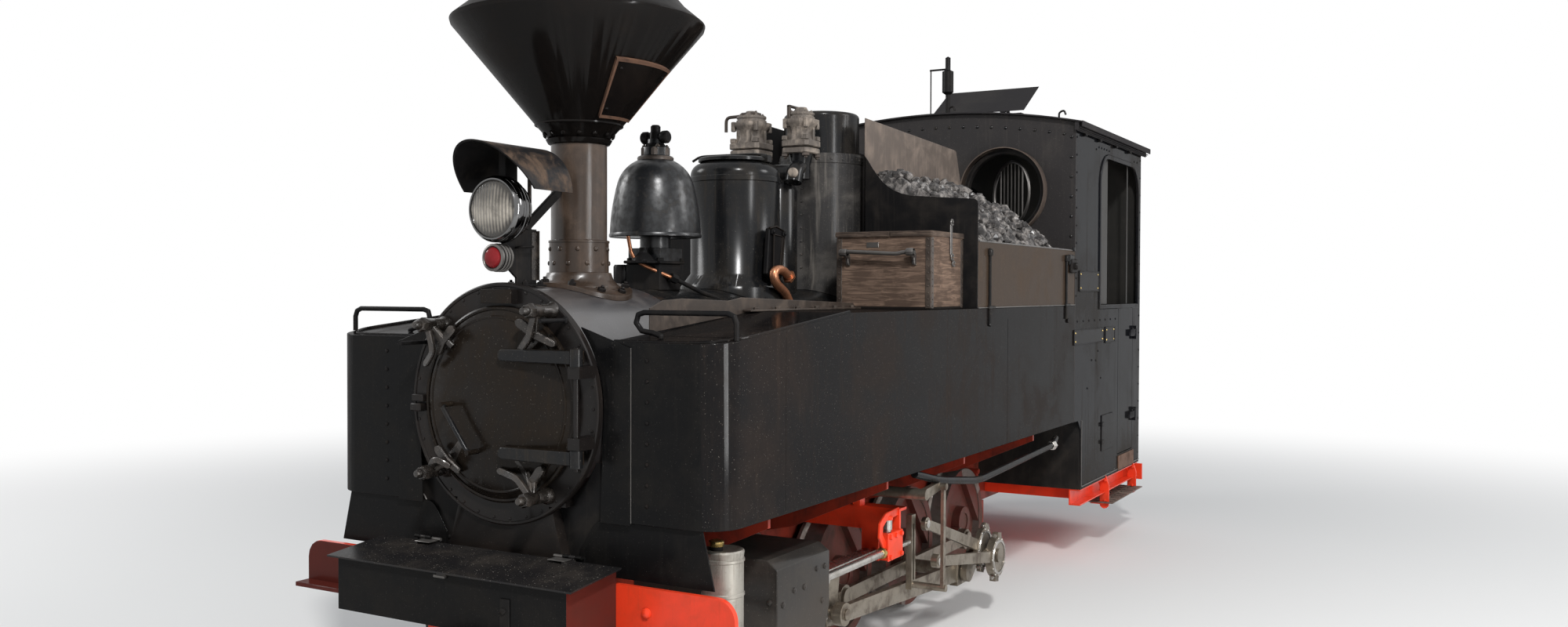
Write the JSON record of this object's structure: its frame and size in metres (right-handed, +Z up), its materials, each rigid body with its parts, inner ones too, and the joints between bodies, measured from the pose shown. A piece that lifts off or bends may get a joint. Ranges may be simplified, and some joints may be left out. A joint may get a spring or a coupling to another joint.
{
  "type": "steam locomotive",
  "caption": "Narrow-gauge tank engine on coupled wheels with side tanks, a cab, a wide cone chimney and outside cylinders and valve gear.",
  "frame": {"origin": "middle of the engine's length and width, at the lowest point of the wheel flanges", "axes": "+X forward to the smokebox, +Y to the engine's left, +Z up"},
  "size_m": [6.12, 1.9, 3.089],
  "materials": {
    "tank_black": "gloss black paint",
    "smokebox_black": "satin black paint",
    "chimney_brown": "weathered brown black",
    "frame_red": "dark red paint",
    "bright_red": "orange red paint",
    "motion_steel": "oiled bare steel",
    "wheel_iron": "dark red centre, bare tread",
    "fitting_iron": "grey brown casting",
    "lamp_metal": "grey metal and glass",
    "chest_wood": "old stained boards",
    "coal_black": "broken coal",
    "zinc": "galvanised sheet"
  },
  "bodies": {
    "engine": {"ash_pan": "tank_black", "bell": "tank_black", "boiler": "tank_black", "brakes_springs": "frame_red", "cab_floor": "tank_black", "cab_front": "tank_black", "cab_left": "tank_black", "cab_rear": "tank_black", "cab_right": "tank_black", "canister": "zinc", "chimney": "chimney_brown", "coal": "coal_black", "coal_bunkers": "tank_black", "cylinders": "tank_black", "front_beam": "bright_red", "front_shields": "tank_black", "handrails": "tank_black", "headlamp": "lamp_metal", "lamp_hood": "smokebox_black", "main_frame": "frame_red", "motion_brackets": "bright_red", "rear_beam": "bright_red", "roof": "tank_black", "safety_valves": "fitting_iron", "sand_dome": "tank_black", "smokebox": "smokebox_black", "spectacle_hoods": "tank_black", "steam_dome": "tank_black", "tank_left": "tank_black", "tank_right": "tank_black", "tool_chest": "chest_wood", "toolbox": "tank_black", "valve_links": "motion_steel", "whistle": "lamp_metal"},
    "cab_door_left": {"cab_door_left": "tank_black"},
    "cab_door_right": {"cab_door_right": "tank_black"},
    "connecting_rod_left": {"connecting_rod_left": "motion_steel"},
    "connecting_rod_right": {"connecting_rod_right": "motion_steel"},
    "coupling_rod_left": {"coupling_rod_left": "motion_steel"},
    "coupling_rod_right": {"coupling_rod_right": "motion_steel"},
    "crosshead_left": {"crosshead_left": "motion_steel"},
    "crosshead_right": {"crosshead_right": "motion_steel"},
    "eccentric_rod_inner_left": {"eccentric_rod_inner_left": "motion_steel"},
    "eccentric_rod_inner_right": {"eccentric_rod_inner_right": "motion_steel"},
    "eccentric_rod_outer_left": {"eccentric_rod_outer_left": "motion_steel"},
    "eccentric_rod_outer_right": {"eccentric_rod_outer_right": "motion_steel"},
    "roof_hatch": {"roof_hatch": "tank_black"},
    "smokebox_door": {"smokebox_door": "smokebox_black"},
    "toolbox_lid": {"toolbox_lid": "tank_black"},
    "wheelset_1": {"wheelset_1": "wheel_iron"},
    "wheelset_2": {"wheelset_2": "wheel_iron"},
    "wheelset_3": {"wheelset_3": "wheel_iron"},
    "wheelset_4": {"wheelset_4": "wheel_iron"}
  },
  "joints": [
    {"name": "axle_1_turn", "type": "hinge", "parent": "engine", "child": "wheelset_1", "pos_m": [1.51, 0, 0.322], "axis": [0, 1, 0], "continuous": true},
    {"name": "axle_2_turn", "type": "hinge", "parent": "engine", "child": "wheelset_2", "pos_m": [0.755, 0, 0.322], "axis": [0, 1, 0], "continuous": true},
    {"name": "axle_3_turn", "type": "hinge", "parent": "engine", "child": "wheelset_3", "pos_m": [0, 0, 0.322], "axis": [0, 1, 0], "continuous": true},
    {"name": "axle_4_turn", "type": "hinge", "parent": "engine", "child": "wheelset_4", "pos_m": [-0.755, 0, 0.322], "axis": [0, 1, 0], "continuous": true},
    {"name": "coupling_rod_left_pin", "type": "hinge", "parent": "wheelset_3", "child": "coupling_rod_left", "pos_m": [0.09193, 0.421, 0.24486], "axis": [0, 1, 0], "continuous": true},
    {"name": "connecting_rod_left_pin", "type": "hinge", "parent": "wheelset_3", "child": "connecting_rod_left", "pos_m": [0.09193, 0.685, 0.24486], "axis": [0, 1, 0], "continuous": true},
    {"name": "eccentric_inner_left", "type": "hinge", "parent": "wheelset_3", "child": "eccentric_rod_inner_left", "pos_m": [0.0088, 0.78, 0.35484], "axis": [0, 1, 0], "continuous": true},
    {"name": "eccentric_outer_left", "type": "hinge", "parent": "wheelset_3", "child": "eccentric_rod_outer_left", "pos_m": [-0.03081, 0.832, 0.30763], "axis": [0, 1, 0], "continuous": true},
    {"name": "crosshead_left_slide", "type": "slide", "parent": "engine", "child": "crosshead_left", "axis": [1, 0, 0], "range_m": [-0.2096, 0.0304]},
    {"name": "coupling_rod_right_pin", "type": "hinge", "parent": "wheelset_3", "child": "coupling_rod_right", "pos_m": [0.07713, -0.421, 0.41392], "axis": [0, 1, 0], "continuous": true},
    {"name": "connecting_rod_right_pin", "type": "hinge", "parent": "wheelset_3", "child": "connecting_rod_right", "pos_m": [0.07713, -0.685, 0.41392], "axis": [0, 1, 0], "continuous": true},
    {"name": "eccentric_inner_right", "type": "hinge", "parent": "wheelset_3", "child": "eccentric_rod_inner_right", "pos_m": [-0.03284, -0.78, 0.3308], "axis": [0, 1, 0], "continuous": true},
    {"name": "eccentric_outer_right", "type": "hinge", "parent": "wheelset_3", "child": "eccentric_rod_outer_right", "pos_m": [0.01437, -0.832, 0.29119], "axis": [0, 1, 0], "continuous": true},
    {"name": "crosshead_right_slide", "type": "slide", "parent": "engine", "child": "crosshead_right", "axis": [1, 0, 0], "range_m": [-0.1939, 0.0461]},
    {"name": "smokebox_door_hinge", "type": "hinge", "parent": "engine", "child": "smokebox_door", "pos_m": [2.68, 0.377, 1.236], "axis": [0, 0, 1], "range_deg": [0, 175]},
    {"name": "toolbox_lid_hinge", "type": "hinge", "parent": "engine", "child": "toolbox_lid", "pos_m": [2.648, 0, 0.752], "axis": [0, -1, 0], "range_deg": [0, 60]},
    {"name": "cab_door_left_hinge", "type": "hinge", "parent": "engine", "child": "cab_door_left", "pos_m": [-2.628, 0.884, 1.07], "axis": [0, 0, 1], "range_deg": [0, 100]},
    {"name": "cab_door_right_hinge", "type": "hinge", "parent": "engine", "child": "cab_door_right", "pos_m": [-2.628, -0.884, 1.07], "axis": [0, 0, -1], "range_deg": [0, 100]},
    {"name": "roof_hatch_hinge", "type": "hinge", "parent": "engine", "child": "roof_hatch", "pos_m": [-1.948, 0, 2.798], "axis": [0, 1, 0], "range_deg": [-30, 40]}
  ],
  "couplings": [
    {"joint": "axle_1_turn", "follows": "axle_3_turn", "ratio": 1},
    {"joint": "axle_2_turn", "follows": "axle_3_turn", "ratio": 1},
    {"joint": "axle_4_turn", "follows": "axle_3_turn", "ratio": 1},
    {"joint": "coupling_rod_left_pin", "follows": "axle_3_turn", "ratio": -1},
    {"joint": "connecting_rod_left_pin", "follows": "axle_3_turn", "ratio": -1},
    {"joint": "eccentric_inner_left", "follows": "axle_3_turn", "ratio": -1},
    {"joint": "eccentric_outer_left", "follows": "axle_3_turn", "ratio": -1},
    {"joint": "coupling_rod_right_pin", "follows": "axle_3_turn", "ratio": -1},
    {"joint": "connecting_rod_right_pin", "follows": "axle_3_turn", "ratio": -1},
    {"joint": "eccentric_inner_right", "follows": "axle_3_turn", "ratio": -1},
    {"joint": "eccentric_outer_right", "follows": "axle_3_turn", "ratio": -1}
  ]
}
